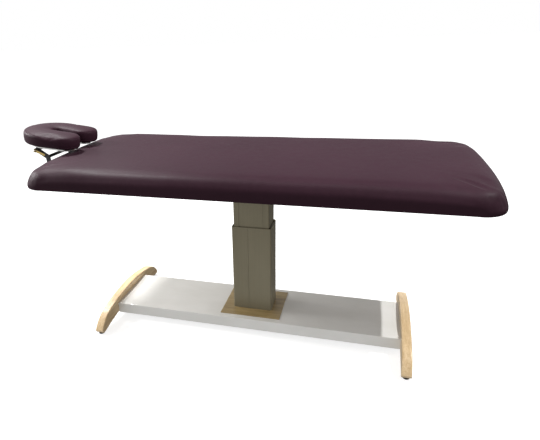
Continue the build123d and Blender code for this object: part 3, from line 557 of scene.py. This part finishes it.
def pad_spine():
    """(x, y, heading) along the middle of the crescent, from the far arm's tip round to the near one's."""
    arc = []
    turns = 40
    first = pi / 2 - ARM_TURN
    for i in range(turns + 1):
        a = first + (2 * pi - 2 * first) * i / turns
        arc.append((BEND_CENTRE_X + BEND * cos(a), BEND * sin(a), a + pi / 2))
    runs = 11
    ahead = Vector((sin(first), -cos(first)))
    arm = []
    for i in range(runs):
        reach = ARM_LENGTH * (1 - i / runs)
        arm.append((arc[0][0] + ahead.x * reach, arc[0][1] + ahead.y * reach, arc[0][2]))
    return arm + arc + [(x, -y, pi - heading) for x, y, heading in reversed(arm)]


def pad_profile():
    """(offset, height) round half of the pad's section, from its middle top to its middle foot."""
    def around(a, half):
        a = radians(a)
        return (BAND_HALF * cos(a) ** PAD_SQUARENESS, half * sin(a) ** PAD_SQUARENESS)

    points = [around(a, PAD_HALF) for a in (90, 86, 80, 72, 62, 52, 43, 34, 24, 12, 4, 0)]
    points += [(BAND_HALF, SEAM_HEIGHT + off) for off in (SEAM_HALF, 0, -SEAM_HALF)]
    points += [around(a, -PAD_HALF) for a in (28, 38, 50, 62, 76, 90)]
    return points


def face_upholstery():
    profile = pad_profile()
    around = profile + [(-d, z) for d, z in profile[-2:0:-1]]
    spine = pad_spine()
    points, faces = [], []

    def strip(rows, closed):
        """Joins rows of points into quads."""
        base = len(points)
        count = len(rows[0])
        for row in rows:
            points.extend(row)
        for r in range(len(rows) - 1):
            for i in range(count if closed else count - 1):
                j = (i + 1) % count
                a, b = base + r * count, base + (r + 1) * count
                faces.append((a + i, a + j, b + j, b + i))

    tube = []
    for x, y, heading in spine:
        side = (-sin(heading), cos(heading))
        tube.append([pad_point(x + side[0] * d, y + side[1] * d, z) for d, z in around])
    strip(tube, True)
    for (x, y, heading), turn in ((spine[0], -1), (spine[-1], 1)):
        cap = []
        steps = 18
        for i in range(steps + 1):
            a = heading + pi / 2 - turn * pi * i / steps
            cap.append([pad_point(x + cos(a) * d, y + sin(a) * d, z) for d, z in profile])
        strip(cap, False)
    mesh = bpy.data.meshes.new("face_upholstery")
    mesh.from_pydata(points, [], faces)
    work = bmesh.new()
    work.from_mesh(mesh)
    bmesh.ops.remove_doubles(work, verts=work.verts, dist=2e-4)
    inner = [face for face in work.faces if len(face.verts) < 3]
    bmesh.ops.delete(work, geom=inner, context="FACES")
    bmesh.ops.recalc_face_normals(work, faces=work.faces)
    work.to_mesh(mesh)
    work.free()
    for face in mesh.polygons:
        face.use_smooth = True
    mesh.materials.append(looks["plum_vinyl"])
    return add("face_upholstery", mesh)


def pad_height(co):
    """Height above the tilted pad's middle plane."""
    away = co - PAD_CENTRE
    return away.x * sin(PAD_TILT) + away.z * cos(PAD_TILT)


def sew(piece, heights):
    """Pulls the row of points that began at the seam's height into the pad."""
    normals = [vertex.normal.copy() for vertex in piece.data.vertices]
    for vertex, normal, height in zip(piece.data.vertices, normals, heights):
        if abs(height - SEAM_HEIGHT) < 0.0006:
            vertex.co -= normal * SEAM_DEPTH


def on_the_plate(co):
    return pad_height(co) < -PAD_HALF + 0.004


face = face_upholstery()
heights = [pad_height(vertex.co) for vertex in face.data.vertices]
settle(face, on_the_plate, pressure=4.0, shrink=-0.01, cap=0.004, frames=16)
sew(face, heights)
refine(face)
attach(face, "face_rest")
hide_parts("face_cover", "face_foam")

# ---------------------------------------------------------------- staples

STAPLE_STEP = 0.012
STAPLE_SKIP = 3
STAPLE_INSET = 0.037
STAPLE_HALF_LENGTH = 0.0055
STAPLE_HALF_WIDTH = 0.0006
STAPLE_HALF_THICK = 0.0005
STAPLE_SUNK = 0.0014


def cover_staples():
    """The row of staples that holds the cover's wrap to the underside of the board."""
    work = bmesh.new()
    square = ((-1, -1), (1, -1), (1, 1), (-1, 1))
    for x, y, nx, ny in plan_stations(STAPLE_STEP)[::STAPLE_SKIP]:
        plan = (MIDDLE.x + x - nx * STAPLE_INSET, MIDDLE.y + y - ny * STAPLE_INSET)
        middle = Vector((*plan, top_low.z - 0.0003))
        along = Vector((-ny, nx, 0)) * STAPLE_HALF_LENGTH
        out = Vector((nx, ny, 0)) * STAPLE_HALF_WIDTH
        down = Vector((0, 0, STAPLE_HALF_THICK))
        rings = []
        for share, sunk in ((-1.0, STAPLE_SUNK), (-0.92, 0.0), (0.92, 0.0), (1.0, STAPLE_SUNK)):
            centre = middle + along * share + Vector((0, 0, sunk))
            rings.append([work.verts.new(centre + out * p + down * q) for p, q in square])
        for first, second in zip(rings, rings[1:]):
            for i in range(4):
                j = (i + 1) % 4
                work.faces.new((first[i], first[j], second[j], second[i]))
        work.faces.new(rings[0])
        work.faces.new(rings[-1][::-1])
    bmesh.ops.recalc_face_normals(work, faces=work.faces)
    mesh = bpy.data.meshes.new("cover_staples")
    work.to_mesh(mesh)
    work.free()
    mesh.materials.append(looks["zinc_bolts"])
    return add("cover_staples", mesh)


staples = cover_staples()
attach(staples, "top")

# ---------------------------------------------------------------- stage

FLOOR_REACH = 40
WORLD_LIGHT_SIDE = (-0.80, -0.60, 0.0)
WORLD_DARK = 0.04
WORLD_LIGHT = 0.80
# (place, brightness) from straight down at 0, past the horizon at 0.5, to straight up at 1
HORIZON_STOPS = [(0.468, 0), (0.482, 1), (0.54, 1), (0.68, 0.42)]

floor_mesh = bpy.data.meshes.new("floor")
corners = [(-1, -1), (1, -1), (1, 1), (-1, 1)]
floor_mesh.from_pydata([(x * FLOOR_REACH, y * FLOOR_REACH, 0) for x, y in corners], [], [(0, 1, 2, 3)])
floor_look = look("studio_floor", (0.5, 0.5, 0.5), 0.9, Emission_Color=(1, 1, 1, 1), Emission_Strength=0.78)
floor_grain = pattern(floor_look, "Noise", (2, 2, 2))
paint(floor_look, ramp(floor_look, floor_grain, (0.3, (0.48, 0.48, 0.48)), (0.7, (0.52, 0.52, 0.52))))
floor_mesh.materials.append(floor_look)
floor = add("floor", floor_mesh)
floor.visible_diffuse = False
floor.visible_glossy = False


def studio_world():
    """A white horizon all round, greyer above it, and under it a shade that is lighter left and front."""
    world = bpy.data.worlds.new("studio")
    scene.world = world
    world.use_nodes = True
    tree = world.node_tree
    heading = tree.nodes.new("ShaderNodeTexCoord").outputs["Generated"]
    parts = tree.nodes.new("ShaderNodeSeparateXYZ")
    tree.links.new(heading, parts.inputs[0])
    height = tree.nodes.new("ShaderNodeMapRange")
    height.inputs["From Min"].default_value = -1
    tree.links.new(parts.outputs["Z"], height.inputs["Value"])
    horizon = tree.nodes.new("ShaderNodeValToRGB")
    elements = horizon.color_ramp.elements
    while len(elements) < len(HORIZON_STOPS):
        elements.new(0.5)
    for element, (place, level) in zip(elements, HORIZON_STOPS):
        element.position = place
        element.color = (level, level, level, 1)
    tree.links.new(height.outputs["Result"], horizon.inputs["Fac"])
    towards = tree.nodes.new("ShaderNodeVectorMath")
    towards.operation = "DOT_PRODUCT"
    towards.inputs[1].default_value = WORLD_LIGHT_SIDE
    tree.links.new(heading, towards.inputs[0])
    side = tree.nodes.new("ShaderNodeMapRange")
    side.inputs["From Min"].default_value = -1
    side.inputs["To Min"].default_value = WORLD_DARK
    side.inputs["To Max"].default_value = WORLD_LIGHT
    tree.links.new(towards.outputs["Value"], side.inputs["Value"])
    brighter = tree.nodes.new("ShaderNodeMath")
    brighter.operation = "MAXIMUM"
    tree.links.new(horizon.outputs["Color"], brighter.inputs[0])
    tree.links.new(side.outputs["Result"], brighter.inputs[1])
    background = tree.nodes["Background"]
    background.inputs["Color"].default_value = (1, 1, 1, 1)
    tree.links.new(brighter.outputs["Value"], background.inputs["Strength"])


studio_world()


def softbox(name, place, target, size, power):
    """A square lamp at place that faces target; size is its side and power is in watts."""
    light = bpy.data.lights.new(name, "AREA")
    light.size = size
    light.energy = power
    lamp = add(name, light)
    lamp.location = place
    lamp.rotation_mode = "QUATERNION"
    lamp.rotation_quaternion = (Vector(target) - Vector(place)).to_track_quat("-Z", "Y")


softbox("ceiling_left", (-2.04, 1.05, 3.2), (-0.2, 0, 0.5), 0.45, 146)
softbox("ceiling_right", (2.0, 0.2, 2.6), (0.2, 0, 0.5), 0.03, 62)
softbox("overhead", (0.35, 0.1, 2.9), (0.1, 0, 0.8), 0.8, 24)
softbox("side_left", (-2.7, 0.0, 1.7), (-0.2, 0, 0.1), 0.8, 75)

scene.view_settings.view_transform = "Standard"
